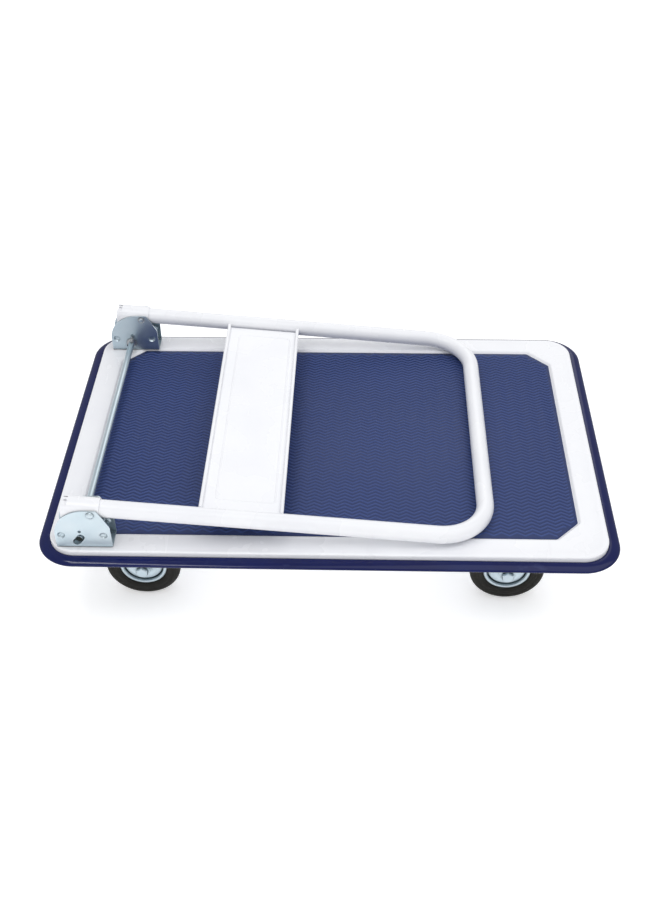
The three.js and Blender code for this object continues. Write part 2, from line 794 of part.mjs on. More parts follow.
function tyre() {
  const { bead, shoulder } = TYRE;
  const seat = RIM.diameter / 2 + GAP;
  const tread = WHEEL.diameter / 2;
  const flank = WHEEL.width / 2;
  return mirroredLathe([
    [seat, flank - bead / 2], [seat + bead, flank], [tread - shoulder, flank],
    [tread - shoulder / 4, flank - shoulder / 2], [tread, flank - shoulder],
  ]);
}

// Pressed steel rim: a seat for the tyre, a flange, a groove, a web and a hub tube.
function rim() {
  const { flange, slope, inset, webAtHub, webAtGroove } = RIM;
  const bore = WHEEL.bush / 2 + GAP;
  const hub = WHEEL.hub / 2;
  const hubEnd = WHEEL.hubLength / 2;
  const seat = RIM.diameter / 2;
  const flangeAt = WHEEL.width / 2 - inset;
  const groove = seat - flange - slope;
  return mirroredLathe([
    [bore, hubEnd], [hub, hubEnd], [hub, webAtHub / 2], [groove - slope, webAtGroove / 2],
    [groove, flangeAt - slope], [seat - flange, flangeAt], [seat, flangeAt],
  ]);
}

function addWheel(parent, name) {
  const { legGap, legSheet, axle, axleHead, axleHeadHeight, axleNutHeight, axleEnd } = CASTOR;
  const face = legGap / 2 + legSheet + GAP; // just outside the leg of the fork
  const tip = face + axleNutHeight + axleEnd;
  const bolt = hexBolt(axleHead, -face - axleHeadHeight, -face, axle, tip);
  add(parent, `axle_${name}`, bolt, zinc());
  const nut = hexNut(axleHead, axle, face, face + axleNutHeight);
  add(parent, `axle_nut_${name}`, nut, zinc());
  const bushHalf = legGap / 2 - GAP;
  const bush = collar(axle / 2 + GAP, WHEEL.bush / 2, -bushHalf, bushHalf);
  add(parent, `hub_bush_${name}`, bush, springSteel());
  add(parent, `wheel_rim_${name}`, rim(), zinc());
  add(parent, `tyre_${name}`, tyre(), blackRubber());
}

function buildCastors() {
  onBothSides((half, side) => {
    const fixed = new THREE.Group();
    fixed.position.set(FIXED_X, -CASTOR_Y, CASTOR.height);
    half.add(fixed);
    add(fixed, `fixed_fork_${side}`, fixedFork(), zinc());
    const fixedWheel = new THREE.Group();
    fixedWheel.position.z = -AXLE_DROP;
    fixed.add(fixedWheel);
    addWheel(fixedWheel, `fixed_${side}`);

    const swivel = new THREE.Group();
    swivel.position.set(SWIVEL.x, -CASTOR_Y, CASTOR.height);
    half.add(swivel);
    add(swivel, `swivel_plate_${side}`, castorPlate(true), zinc());
    add(swivel, `swivel_race_${side}`, raceRing(), zinc());
    add(swivel, `swivel_fork_${side}`, swivelFork(), zinc());
    add(swivel, `kingpin_${side}`, kingpin(), zinc());
    add(swivel, `kingpin_nut_${side}`, kingpinNut(), zinc());
    const swivelWheel = new THREE.Group();
    swivelWheel.position.set(SWIVEL.trail, 0, -AXLE_DROP);
    swivel.add(swivelWheel);
    addWheel(swivelWheel, `swivel_${side}`);
  });
}

buildDeck();
buildHinges();
buildHandle();
buildCastors();

export default trolley;
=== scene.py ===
"""Looks of the folding platform trolley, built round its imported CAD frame.

Shapes are drawn in millimetres, in the frame's own axes: +X along the deck from the hinge end,
+Y to the far side, +Z up, and the origin on the floor under the middle of the deck.
The near side is -Y, and each far side piece is the near side piece mirrored in Y.
"""

import json
import math

import bmesh
import bpy
from mathutils import Matrix, Vector
from mathutils.geometry import tessellate_polygon


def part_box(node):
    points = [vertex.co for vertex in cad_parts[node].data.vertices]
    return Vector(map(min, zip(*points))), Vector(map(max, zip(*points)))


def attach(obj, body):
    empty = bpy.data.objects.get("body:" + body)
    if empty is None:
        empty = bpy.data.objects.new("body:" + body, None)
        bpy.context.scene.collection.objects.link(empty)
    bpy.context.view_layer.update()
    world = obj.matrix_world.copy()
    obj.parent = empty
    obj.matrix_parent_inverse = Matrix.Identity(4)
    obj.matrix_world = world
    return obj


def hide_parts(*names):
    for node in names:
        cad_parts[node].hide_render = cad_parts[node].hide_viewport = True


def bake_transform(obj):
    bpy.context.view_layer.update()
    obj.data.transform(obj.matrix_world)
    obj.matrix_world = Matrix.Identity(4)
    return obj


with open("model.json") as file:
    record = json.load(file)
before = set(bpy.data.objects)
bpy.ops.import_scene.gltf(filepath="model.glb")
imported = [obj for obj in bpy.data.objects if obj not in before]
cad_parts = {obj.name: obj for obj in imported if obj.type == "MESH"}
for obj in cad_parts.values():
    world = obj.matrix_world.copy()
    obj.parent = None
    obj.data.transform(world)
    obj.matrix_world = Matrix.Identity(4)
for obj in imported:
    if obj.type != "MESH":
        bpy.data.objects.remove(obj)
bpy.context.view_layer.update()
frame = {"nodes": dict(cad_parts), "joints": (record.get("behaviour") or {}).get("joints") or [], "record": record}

MM = 0.001

# ---------------------------------------------------------------- sizes read from the frame


def corners(node):
    """The node's lowest and highest corners, in millimetres."""
    low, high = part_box(node)
    return low / MM, high / MM


def joint_place(name):
    """Where the joint is, in millimetres."""
    found = next(joint for joint in frame["joints"] if joint["name"] == name)
    return Vector(found["pos_m"]) / MM


DECK_LOW, DECK_HIGH = corners("deck_panel")
MAT_LOW, MAT_HIGH = corners("deck_mat")
BUMPER_LOW, BUMPER_HIGH = corners("edge_bumper")
BRACKET_LOW, BRACKET_HIGH = corners("hinge_bracket_near")
TUBE_LOW = corners("handle_tube")[0]
BAR_LOW, BAR_HIGH = corners("release_bar")
HINGE = joint_place("handle_fold")

# ---------------------------------------------------------------- driving sizes, in millimetres

GAP = 0.3

DECK_CORNER = 45
DECK_SHEET = 1.5
DECK_EDGE = 3
RECESS_DEPTH = 4
RECESS_BEVEL = 5
MAT_CHAMFER = 37
MAT_CORNER = 7

RIB_PITCH = 8
RIB_PERIOD = 25
RIB_SWING = 7
RIB_WIDTH = 5
RIB_HEIGHT = 1.2

BUMPER_FLAT = 3

BRACKET_SHEET = 2
BRACKET_BEND = 2.6
BRACKET_BACK = 26
BRACKET_CROWN = 50
BRACKET_TOP_END = 70
BRACKET_FRONT = 44
PIVOT_ALONG = (60.5, 68)
SLOT_UPPER = (40, 21)
SLOT_LOWER = (33, 11.7)
SLOT_RADIUS = 6.3
SPRING_HOLE = (39.5, 33.5)
DIMPLES = ((10, 25.6), (76.2, 25.6))
DIMPLE_RADIUS = 6.4
DIMPLE_DEPTH = 3.2
RIVETS = (20, 70)
RIVET_HEAD = 7
RIVET_SHANK = 4
RIVET_SEAT = 2.6
RIVET_TAIL_HEIGHT = 3.2
PIVOT_HOLE = 4.3
SPRING_HOLE_RADIUS = 2.75
PIVOT_RADIUS = 4
PIVOT_HEAD = 6.5
PIVOT_HEAD_HEIGHT = 3.5
PIVOT_END = 2.4
PIVOT_CLIP_BORE = 4.2
PIVOT_CLIP_RADIUS = 6
PIVOT_CLIP_THICK = 1.2

TUBE_RADIUS = 14
TUBE_WALL = 1.8
TUBE_BEND = 80
TUBE_REACH = 632
TUBE_TAIL = 46
LEG_Y = 266
SADDLE_SHEET = 1.5
SADDLE_END = 13
SADDLE_SIDE = 9
SADDLE_CORNER = 14
NOTCH_LENGTH = 9
NOTCH_FLOOR = 12
NOTCH_TOP = 30
NOTCH_HALF = 20

PANEL_START = 163
PANEL_END = 296
PANEL_WIDTH = 495
PANEL_SHEET = 1.5
PANEL_RIM = 6
PANEL_RIM_UP = 7
PANEL_RIM_DOWN = 3

BAR_RADIUS = 5.5
SPRING_COIL = 2.6
SPRING_WIRE = 0.6
SPRING_TURNS = 5
SPRING_STEPS = 16
SPRING_ENDS = 1.5
BAR_CLIP_RADIUS = 9.5
BAR_CLIP_THICK = 1.5

CASTOR_Y = 194
CASTOR_HEIGHT = 155
CASTOR_HOLES = (40, 30)
CASTOR_BOLT = 8
CASTOR_PLATE = 3
CHANNEL_SHEET = 2
BOLT_FLATS = 13
BOLT_HEAD = 5.5
BOLT_END = 12
BOLT_NUT = (1.6, 8)
WASHER_RADIUS = 8
WASHER_THICK = 1.5
AXLE_RADIUS = 6
AXLE_FLATS = 18
AXLE_FACE = 22.8
AXLE_HEAD = 6
AXLE_NUT = 8
AXLE_NUT_BORE = 12.6
AXLE_END = 11
WHEEL_RADIUS = 62.5
WHEEL_HALF = 16
RIM_RADIUS = 39.5
AXLE_HEIGHT = 62.5

FLOOR_SIZE = 30000

# ---------------------------------------------------------------- shapes
# A shape is a pair: a list of points in millimetres, and a list of faces that index it.


def joined(*shapes):
    """Several shapes as one."""
    points = []
    faces = []
    for more_points, more_faces in shapes:
        start = len(points)
        points.extend(Vector(point) for point in more_points)
        faces.extend([start + index for index in face] for face in more_faces)
    return points, faces


def placed(shape, place):
    """The shape moved by a matrix, and turned inside out again if the matrix mirrors it."""
    points, faces = shape
    moved = [place @ Vector(point) for point in points]
    if place.determinant() < 0:
        faces = [list(reversed(face)) for face in faces]
    return moved, faces


def shifted(shape, x=0, y=0, z=0):
    return placed(shape, Matrix.Translation((x, y, z)))


def rows(loops, ring=False):
    """A skin over loops that have the same number of points. Without ring, both ends are capped."""
    count = len(loops[0])
    points = [point for loop in loops for point in loop]
    faces = []
    spans = len(loops) if ring else len(loops) - 1
    for row in range(spans):
        after = (row + 1) % len(loops)
        for i in range(count):
            k = (i + 1) % count
            faces.append([row * count + i, row * count + k, after * count + k, after * count + i])
    if not ring:
        last = (len(loops) - 1) * count
        faces.append(list(reversed(range(count))))
        faces.append([last + i for i in range(count)])
    return points, faces


def arc(centre, radius, start, end, steps):
    """Points of an arc about centre, from start to end in degrees."""
    points = []
    for step in range(steps + 1):
        angle = math.radians(start + (end - start) * step / steps)
        points.append((centre[0] + radius * math.cos(angle), centre[1] + radius * math.sin(angle)))
    return points


def lathe(profile, steps=48):
    """A profile of (radius, height) turned about Y."""
    loops = []
    for radius, height in profile:
        ring = arc((0, 0), max(radius, 0), 0, 360 - 360 / steps, steps - 1)
        loops.append([(x, height, z) for x, z in ring])
    closed = profile[0] == profile[-1]
    return rows(loops[:-1] if closed else loops, ring=closed)


def upright(shape):
    """A shape made about Y, turned to stand along Z."""
    return placed(shape, Matrix.Rotation(math.radians(90), 4, "X"))


def prism(outline, low, high, axis="y", holes=()):
    """An outline with holes, pulled along an axis. Its two numbers are the other two axes."""
    def lift(point, height):
        if axis == "x":
            return (height, point[0], point[1])
        if axis == "y":
            return (point[0], height, point[1])
        return (point[0], point[1], height)

    outlines = [list(outline)] + [list(hole) for hole in holes]
    flat = [point for line in outlines for point in line]
    triangles = tessellate_polygon([[Vector((x, y, 0)) for x, y in line] for line in outlines])
    count = len(flat)
    points = [lift(point, low) for point in flat] + [lift(point, high) for point in flat]
    faces = []
    for triangle in triangles:
        faces.append(list(triangle))
        faces.append([count + index for index in reversed(triangle)])
    start = 0
    for line in outlines:
        for i in range(len(line)):
            a = start + i
            b = start + (i + 1) % len(line)
            faces.append([a, b, count + b, count + a])
        start += len(line)
    return points, faces


def swept(path, section):
    """A section of (across, up) points carried along a path, square to it at every point."""
    path = [Vector(point) for point in path]
    loops = []
    up = Vector((0, 0, 1))
    for i, point in enumerate(path):
        ahead = path[min(i + 1, len(path) - 1)] - path[max(i - 1, 0)]
        ahead.normalize()
        across = ahead.cross(up)
        if across.length < 1e-6:
            across = Vector((1, 0, 0))
        across.normalize()
        up = across.cross(ahead).normalized()
        loops.append([point + across * a + up * b for a, b in section])
    return rows(loops)


def wire(path, radius, sides=12):
    return swept(path, arc((0, 0), radius, 0, 360 - 360 / sides, sides - 1))


def hex_piece(across_flats, low, high, bore=0):
    """A nut, or without a bore the head of a bolt, about Y and with its corners turned off."""
    chamfer = across_flats * 0.07
    inner = across_flats / 2 * 0.93
    loops = []
    turn = math.radians(360 / 48)
    for height, full in ((low, False), (low + chamfer, True), (high - chamfer, True), (high, False)):
        loop = []
        for step in range(48):
            angle = step * turn
            off_middle = (angle + math.pi / 6) % (math.pi / 3) - math.pi / 6
            flat_radius = across_flats / 2 / math.cos(off_middle)
            radius = flat_radius if full else min(flat_radius, inner)
            loop.append((radius * math.cos(angle), height, radius * math.sin(angle)))
        loops.append(loop)
    if bore:
        for height in (high, low):
            ring = arc((0, 0), bore / 2, 0, 360 - 360 / 48, 47)
            loops.append([(x, height, z) for x, z in ring])
        return rows(loops, ring=True)
    return rows(loops)


def rod(radius, low, high, chamfer=0.6, steps=32):
    """A turned rod about Y with chamfered ends."""
    profile = [
        (0, low), (radius - chamfer, low), (radius, low + chamfer),
        (radius, high - chamfer), (radius - chamfer, high), (0, high),
    ]
    return lathe(profile, steps)


# ---------------------------------------------------------------- pieces

NEAR = Matrix.Identity(4)
FAR = Matrix.Diagonal((1, -1, 1, 1))
SIDES = (("near", NEAR), ("far", FAR))


def tidy_mesh(mesh):
    work = bmesh.new()
    work.from_mesh(mesh)
    bmesh.ops.remove_doubles(work, verts=work.verts, dist=2e-6)
    bmesh.ops.dissolve_degenerate(work, edges=work.edges, dist=1e-7)
    bmesh.ops.recalc_face_normals(work, faces=work.faces)
    work.to_mesh(mesh)
    work.free()


def piece(name, shape, material, body, slot, nodes=(), sharp=35, across=None):
    """A finished piece: its mesh, its material, the body it rides on and the nodes it stands for.

    Across, a second body and two points in metres, marks a piece that reaches to a second body.
    Such a piece is left where it is built and attached to no body; the body and the points are not used.
    """
    points, faces = shape
    mesh = bpy.data.meshes.new(name)
    mesh.from_pydata([Vector(point) * MM for point in points], [], faces)
    tidy_mesh(mesh)
    mesh.polygons.foreach_set("use_smooth", [True] * len(mesh.polygons))
    mesh.set_sharp_from_angle(angle=math.radians(sharp))
    obj = bpy.data.objects.new(name, mesh)
    bpy.context.scene.collection.objects.link(obj)
    mesh.materials.append(material)
    if across:
        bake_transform(obj)
    else:
        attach(obj, body)
    if nodes:
        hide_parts(*nodes)
    return obj


def round_edges(obj, width):
    """Rounds the sharp edges by a width in millimetres."""
    rounding = obj.modifiers.new("rounded edges", "BEVEL")
    rounding.width = width * MM
    rounding.segments = 2
    rounding.limit_method = "ANGLE"
    rounding.angle_limit = math.radians(35)
    rounding.harden_normals = True


def cut_away(obj, *cutters):
    """Takes closed shapes out of a piece."""
    for shape in cutters:
        points, faces = shape
        mesh = bpy.data.meshes.new("cutter")
        mesh.from_pydata([Vector(point) * MM for point in points], [], faces)
        tidy_mesh(mesh)
        cutter = bpy.data.objects.new("cutter", mesh)
        bpy.context.scene.collection.objects.link(cutter)
        hole = obj.modifiers.new("hole", "BOOLEAN")
        hole.object = cutter
        hole.solver = "EXACT"
        bpy.context.view_layer.update()
        result = bpy.data.meshes.new_from_object(obj.evaluated_get(bpy.context.evaluated_depsgraph_get()))
        obj.modifiers.remove(hole)
        obj.data = result
        bpy.data.objects.remove(cutter)
    obj.data.set_sharp_from_angle(angle=math.radians(35))


# ---------------------------------------------------------------- materials


class Nodes:
    """Builds a material's nodes in the object's own coordinates."""

    def __init__(self, name):
        self.material = bpy.data.materials.new(name)
        self.material.use_nodes = True
        self.tree = self.material.node_tree
        self.shader = self.tree.nodes["Principled BSDF"]
        self.place = self.tree.nodes.new("ShaderNodeTexCoord").outputs["Object"]

    def link(self, source, target):
        self.tree.links.new(source, target)

    def stretched(self, scale):
        mapping = self.tree.nodes.new("ShaderNodeMapping")
        mapping.inputs["Scale"].default_value = scale
        self.link(self.place, mapping.inputs["Vector"])
        return mapping.outputs["Vector"]

    def noise(self, scale, detail=3, stretch=None):
        """Smooth noise from 0 to 1. Scale is in features per metre."""
        noise = self.tree.nodes.new("ShaderNodeTexNoise")
        noise.inputs["Scale"].default_value = scale
        noise.inputs["Detail"].default_value = detail
        self.link(self.stretched(stretch) if stretch else self.place, noise.inputs["Vector"])
        return noise.outputs["Fac"]

    def height(self):
        """How high the point is, in metres."""
        parts = self.tree.nodes.new("ShaderNodeSeparateXYZ")
        self.link(self.place, parts.inputs["Vector"])
        return parts.outputs["Z"]

    def ranged(self, source, low, high, to_low=0.0, to_high=1.0):
        ranged = self.tree.nodes.new("ShaderNodeMapRange")
        ranged.inputs["From Min"].default_value = low
        ranged.inputs["From Max"].default_value = high
        ranged.inputs["To Min"].default_value = to_low
        ranged.inputs["To Max"].default_value = to_high
        self.link(source, ranged.inputs["Value"])
        return ranged.outputs["Result"]

    def maths(self, operation, first, second):
        node = self.tree.nodes.new("ShaderNodeMath")
        node.operation = operation
        for value, socket in ((first, node.inputs[0]), (second, node.inputs[1])):
            if isinstance(value, (int, float)):
                socket.default_value = value
            else:
                self.link(value, socket)
        return node.outputs["Value"]

    def mixed(self, share, first, second):
        """A colour from first to second. Each is a colour or another node's output."""
        mix = self.tree.nodes.new("ShaderNodeMix")
        mix.data_type = "RGBA"
        self.link(share, mix.inputs["Factor"])
        for value, socket in ((first, mix.inputs[6]), (second, mix.inputs[7])):
            if isinstance(value, tuple):
                socket.default_value = (*value, 1)
            else:
                self.link(value, socket)
        return mix.outputs[2]

    def edges(self, radius):
        """1 on edges that are sharper than the radius, in millimetres, and 0 on open faces."""
        rounded = self.tree.nodes.new("ShaderNodeBevel")
        rounded.samples = 4
        rounded.inputs["Radius"].default_value = radius * MM
        geometry = self.tree.nodes.new("ShaderNodeNewGeometry")
        dot = self.tree.nodes.new("ShaderNodeVectorMath")
        dot.operation = "DOT_PRODUCT"
        self.link(rounded.outputs["Normal"], dot.inputs[0])
        self.link(geometry.outputs["Normal"], dot.inputs[1])
        return self.ranged(dot.outputs["Value"], 0.995, 0.8)

    def crevices(self, reach, open_share, closed_share):
        """From 0 on open faces to 1 where little of the space within reach, in millimetres, is open."""
        shade = self.tree.nodes.new("ShaderNodeAmbientOcclusion")
        shade.samples = 4
        shade.inputs["Distance"].default_value = reach * MM
        return self.ranged(shade.outputs["AO"], open_share, closed_share)

    def bump(self, *layers):
        """Each layer is (height output, height in millimetres)."""
        previous = None
        for height, distance in layers:
            bump = self.tree.nodes.new("ShaderNodeBump")
            bump.inputs["Distance"].default_value = distance * MM
            bump.inputs["Strength"].default_value = 1
            self.link(height, bump.inputs["Height"])
            if previous:
                self.link(previous, bump.inputs["Normal"])
            previous = bump.outputs["Normal"]
        self.link(previous, self.shader.inputs["Normal"])

    def finish(self, color, roughness, metallic=0.0, coat=0.0, specular=0.5):
        self.link(color, self.shader.inputs["Base Color"])
        self.link(roughness, self.shader.inputs["Roughness"])
        self.shader.inputs["Metallic"].default_value = metallic
        self.shader.inputs["Coat Weight"].default_value = coat
        self.shader.inputs["Specular IOR Level"].default_value = specular
        return self.material


def white_paint():
    """Gloss powder coat: a fine orange peel, faint cloudiness and rubbed edges."""
    n = Nodes("white_paint")
    cloud = n.noise(9, 4)
    base = n.mixed(n.ranged(cloud, 0.3, 0.7), (0.81, 0.82, 0.86), (0.86, 0.87, 0.90))
    scuff = n.ranged(n.noise(60, 6, (1, 0.15, 1)), 0.66, 0.74, 0, 0.22)
    scuffed = n.mixed(scuff, base, (0.74, 0.74, 0.78))
    worn = n.mixed(n.maths("MULTIPLY", n.edges(0.8), 0.25), scuffed, (0.62, 0.62, 0.66))
    n.bump((n.noise(900, 2), 0.05), (n.noise(140, 3), 0.05))
    roughness = n.maths("ADD", n.ranged(cloud, 0.3, 0.7, 0.22, 0.32), n.maths("MULTIPLY", scuff, 0.4))
    return n.finish(worn, roughness)


def blue_mat():
    """Ribbed vinyl: satin, finely grained, with painted shade down between the ribs, and rubbed along their tops.
    """
    n = Nodes("blue_mat")
    cloud = n.noise(7, 4)
    base = n.mixed(n.ranged(cloud, 0.3, 0.7), (0.026, 0.054, 0.190), (0.034, 0.066, 0.225))
    dust = n.ranged(n.noise(45, 6), 0.55, 0.8, 0, 0.25)
    dusty = n.mixed(dust, base, (0.06, 0.085, 0.20))
    top = corners("deck_mat")[1].z * MM
    # Painted shade between the ribs: the colour darkens towards each rib's foot and is lighter on its top.
    up = n.ranged(n.height(), top - RIB_HEIGHT * MM, top)
    painted_shade_colour = n.mixed(up, (0.017, 0.033, 0.122), dusty)
    worn = n.mixed(n.maths("MULTIPLY", n.edges(0.5), 0.3), painted_shade_colour, (0.07, 0.11, 0.27))
    n.bump((n.noise(1500, 2), 0.04), (n.noise(300, 2), 0.06))
    roughness = n.ranged(cloud, 0.3, 0.7, 0.42, 0.54)
    return n.finish(worn, roughness, specular=0.35)


def blue_pvc():
    """Glossy extruded edging with a slight draw along it and fine rubbed marks."""
    n = Nodes("blue_pvc")
    cloud = n.noise(14, 4)
    base = n.mixed(n.ranged(cloud, 0.3, 0.7), (0.002, 0.005, 0.062), (0.003, 0.009, 0.080))
    scuff = n.ranged(n.noise(90, 6, (0.3, 0.3, 2)), 0.64, 0.74, 0, 0.5)
    scuffed = n.mixed(scuff, base, (0.025, 0.035, 0.12))
    n.bump((n.noise(500, 2), 0.015), (n.noise(40, 2), 0.06))
    roughness = n.maths("ADD", n.ranged(cloud, 0.3, 0.7, 0.09, 0.13), n.maths("MULTIPLY", scuff, 0.3))
    return n.finish(scuffed, roughness, specular=0.28)


def zinc():
    """Bright zinc plate: bluish and faintly clouded, rubbed on its edges, with painted shade in its corners,
    hollows and insides.
    """
    n = Nodes("zinc")
    tint = n.mixed(n.ranged(n.noise(18, 3), 0.35, 0.65), (0.53, 0.63, 0.69), (0.58, 0.66, 0.71))
    stain = n.ranged(n.noise(50, 5), 0.6, 0.8, 0, 0.2)
    stained = n.mixed(stain, tint, (0.50, 0.57, 0.62))
    # Painted shade: the zinc darkens where little of the space within 6 mm or 30 mm is open, as in the dimples,
    # the slot and inside the bracket.
    shaded = n.maths("MAXIMUM", n.crevices(6, 0.85, 0.45), n.crevices(30, 0.5, 0.2))
    painted_shade_colour = n.mixed(n.maths("MULTIPLY", shaded, 0.9), stained, (0.07, 0.10, 0.11))
    worn = n.mixed(n.maths("MULTIPLY", n.edges(0.6), 0.4), painted_shade_colour, (0.86, 0.88, 0.90))
    n.bump((n.noise(700, 2, (1, 1, 0.2)), 0.006), (n.noise(45, 2), 0.025))
    roughness = n.ranged(n.noise(35, 4), 0.3, 0.7, 0.33, 0.42)
    return n.finish(worn, n.maths("ADD", roughness, n.maths("MULTIPLY", stain, 0.2)), metallic=1.0)


def spring_steel():
    """Oiled spring steel, darker than the plated parts and lightly drawn."""
    n = Nodes("spring_steel")
    tint = n.mixed(n.ranged(n.noise(120, 3), 0.35, 0.65), (0.42, 0.44, 0.47), (0.52, 0.53, 0.54))
    worn = n.mixed(n.maths("MULTIPLY", n.edges(0.4), 0.4), tint, (0.70, 0.71, 0.72))
    n.bump((n.noise(1200, 2), 0.02))
    return n.finish(worn, n.ranged(n.noise(200, 3), 0.3, 0.7, 0.25, 0.4), metallic=1.0)


def slot_shade_disc():
    """The bar's end: a near-black disc of painted shade for the shaded inside of the bracket's slot, with the
    saw's marks across it.
    """
    n = Nodes("slot_shade_disc")
    marks = n.noise(500, 3, (1, 1, 4))
    base = n.mixed(n.ranged(marks, 0.35, 0.65), (0.005, 0.009, 0.009), (0.018, 0.024, 0.023))
    n.bump((marks, 0.05))
    return n.finish(base, n.ranged(marks, 0.3, 0.7, 0.5, 0.65), specular=0.2)


def tyre():
    """Dark moulded rubber, with dust on it and a matt grain."""
    n = Nodes("tyre")
    cloud = n.noise(25, 4)
    base = n.mixed(n.ranged(cloud, 0.3, 0.7), (0.012, 0.012, 0.010), (0.018, 0.017, 0.015))
    dust = n.ranged(n.noise(90, 6), 0.55, 0.8, 0, 0.4)
    dusty = n.mixed(dust, base, (0.035, 0.034, 0.030))
    worn = n.mixed(n.maths("MULTIPLY", n.edges(0.8), 0.3), dusty, (0.06, 0.057, 0.052))
    n.bump((n.noise(1400, 2), 0.06), (n.noise(200, 3), 0.1))
    return n.finish(worn, n.ranged(cloud, 0.3, 0.7, 0.55, 0.72), specular=0.2)


def pale_floor():
    n = Nodes("pale_floor")
    base = n.mixed(n.noise(0.8, 2), (0.93, 0.93, 0.93), (0.95, 0.95, 0.95))
    n.shader.inputs["Emission Color"].default_value = (1, 1, 1, 1)
    n.shader.inputs["Emission Strength"].default_value = 0.38
    return n.finish(base, n.ranged(n.noise(3, 2), 0.3, 0.7, 0.85, 0.95), specular=0.1)


PAINT = white_paint()
MAT_VINYL = blue_mat()
PVC = blue_pvc()
ZINC = zinc()
SPRING_STEEL = spring_steel()
SLOT_SHADE_DISC = slot_shade_disc()
RUBBER = tyre()

FINISH_OF_SLOT = {
    "white_paint": PAINT, "blue_mat": MAT_VINYL, "blue_pvc": PVC,
    "zinc": ZINC, "spring_steel": SPRING_STEEL, "tyre": RUBBER,
}

# ---------------------------------------------------------------- deck

DECK_TOP = DECK_HIGH.z
PAN_TOP = DECK_TOP - RECESS_DEPTH
CORNER_STEPS = 10


def deck_loop(grow, z):
    """Points round the deck's outline, two stretches to each corner so that they match mat_loop."""
    points = []
    centre_x = DECK_HIGH.x - DECK_CORNER
    centre_y = DECK_HIGH.y - DECK_CORNER
    radius = DECK_CORNER + grow
    for quarter, (sx, sy) in enumerate(((1, 1), (-1, 1), (-1, -1), (1, -1))):
        for half in (0, 45):
            start = quarter * 90 + half
            for x, y in arc((sx * centre_x, sy * centre_y), radius, start, start + 45, CORNER_STEPS):
                points.append((x, y, z))
    return points


def mat_loop(grow, z, corner=MAT_CORNER):
    """Points round the mat's eight-sided outline, with each of its corners rounded."""
    half_x = MAT_HIGH.x + grow
    half_y = MAT_HIGH.y + grow
    chamfer = MAT_CHAMFER + grow * (2 - math.sqrt(2))
    radius = corner + grow
    points = []
    for quarter in range(4):
        sx = 1 if quarter in (0, 3) else -1
        sy = 1 if quarter in (0, 1) else -1
        on_end = Vector((sx * half_x, sy * (half_y - chamfer)))
        on_side = Vector((sx * (half_x - chamfer), sy * half_y))
        pair = (on_end, on_side) if quarter in (0, 2) else (on_side, on_end)
        for half, vertex in zip((0, 45), pair):
            start = quarter * 90 + half
            first = Vector((math.cos(math.radians(start)), math.sin(math.radians(start))))
            second = Vector((math.cos(math.radians(start + 45)), math.sin(math.radians(start + 45))))
            centre = vertex - radius * (first + second) / (1 + first.dot(second))
            for x, y in arc(centre, radius, start, start + 45, CORNER_STEPS):
                points.append((x, y, z))
    return points


def deck_shape():
    """The pressed tray: pan, bevel, border, rounded edge and skirt, and the same again inside."""
    low = DECK_LOW.z
    sheet = DECK_SHEET
    loops = [mat_loop(GAP + 0.4, PAN_TOP)]
    # The bevel's foot and shoulder are both rounded.
    loops.append(mat_loop(GAP + 0.9, PAN_TOP + 0.15))
    loops.append(mat_loop(RECESS_BEVEL - 1.2, DECK_TOP - 0.9))
    loops.append(mat_loop(RECESS_BEVEL - 0.4, DECK_TOP - 0.3))
    loops.append(mat_loop(RECESS_BEVEL + 1, DECK_TOP))
    # A shallow rolled line runs round the border, just inside the deck's edge.
    loops.append(deck_loop(-DECK_EDGE - 8, DECK_TOP))
    loops.append(deck_loop(-DECK_EDGE - 5.5, DECK_TOP - 0.35))
    loops.append(deck_loop(-DECK_EDGE - 3, DECK_TOP - 0.3))
    for angle in range(90, -1, -15):
        out = -DECK_EDGE + DECK_EDGE * math.cos(math.radians(angle))
        up = DECK_TOP - DECK_EDGE + DECK_EDGE * math.sin(math.radians(angle))
        loops.append(deck_loop(out, up))
    loops.append(deck_loop(0, low))
    loops.append(deck_loop(-sheet, low))
    loops.append(deck_loop(-sheet, DECK_TOP - DECK_EDGE))
    loops.append(deck_loop(-DECK_EDGE, DECK_TOP - sheet))
    loops.append(mat_loop(RECESS_BEVEL + sheet, DECK_TOP - sheet))
    loops.append(mat_loop(sheet, PAN_TOP - sheet))
    return rows(loops)


def mat_half_length(y):
    """How far the mat reaches along X at a given distance across."""
    straight = MAT_HIGH.y - MAT_CHAMFER
    return MAT_HIGH.x - max(0, abs(y) - straight)


def zigzag(x):
    """How far a rib has swung across at x, from -1 to 1."""
    share = (x / RIB_PERIOD) % 1
    return 4 * abs(share - 0.5) - 1


def mat_shape():
    base_top = MAT_HIGH.z - RIB_HEIGHT
    base = rows([
        mat_loop(0, MAT_LOW.z), mat_loop(0, base_top - 0.4), mat_loop(-0.4, base_top),
    ])
    ribs = []
    margin = 5
    count = int((MAT_HIGH.y - margin - RIB_SWING / 2) / RIB_PITCH)
    for row in range(-count, count + 1):
        y = row * RIB_PITCH
        reach = mat_half_length(abs(y) + RIB_SWING / 2) - margin
        turns = int(reach / (RIB_PERIOD / 2))
        stations = [-reach] + [turn * RIB_PERIOD / 2 for turn in range(-turns, turns + 1)] + [reach]
        half = RIB_WIDTH / 2
        loops = []
        for x in stations:
            middle = y + zigzag(x) * RIB_SWING / 2
            section = (
                (-half, -0.05), (-half * 0.55, RIB_HEIGHT * 0.72), (0, RIB_HEIGHT),
                (half * 0.55, RIB_HEIGHT * 0.72), (half, -0.05),
            )
            loops.append([(x, middle + across, base_top + up) for across, up in section])
        ribs.append(rows(loops))
    return joined(base, *ribs)


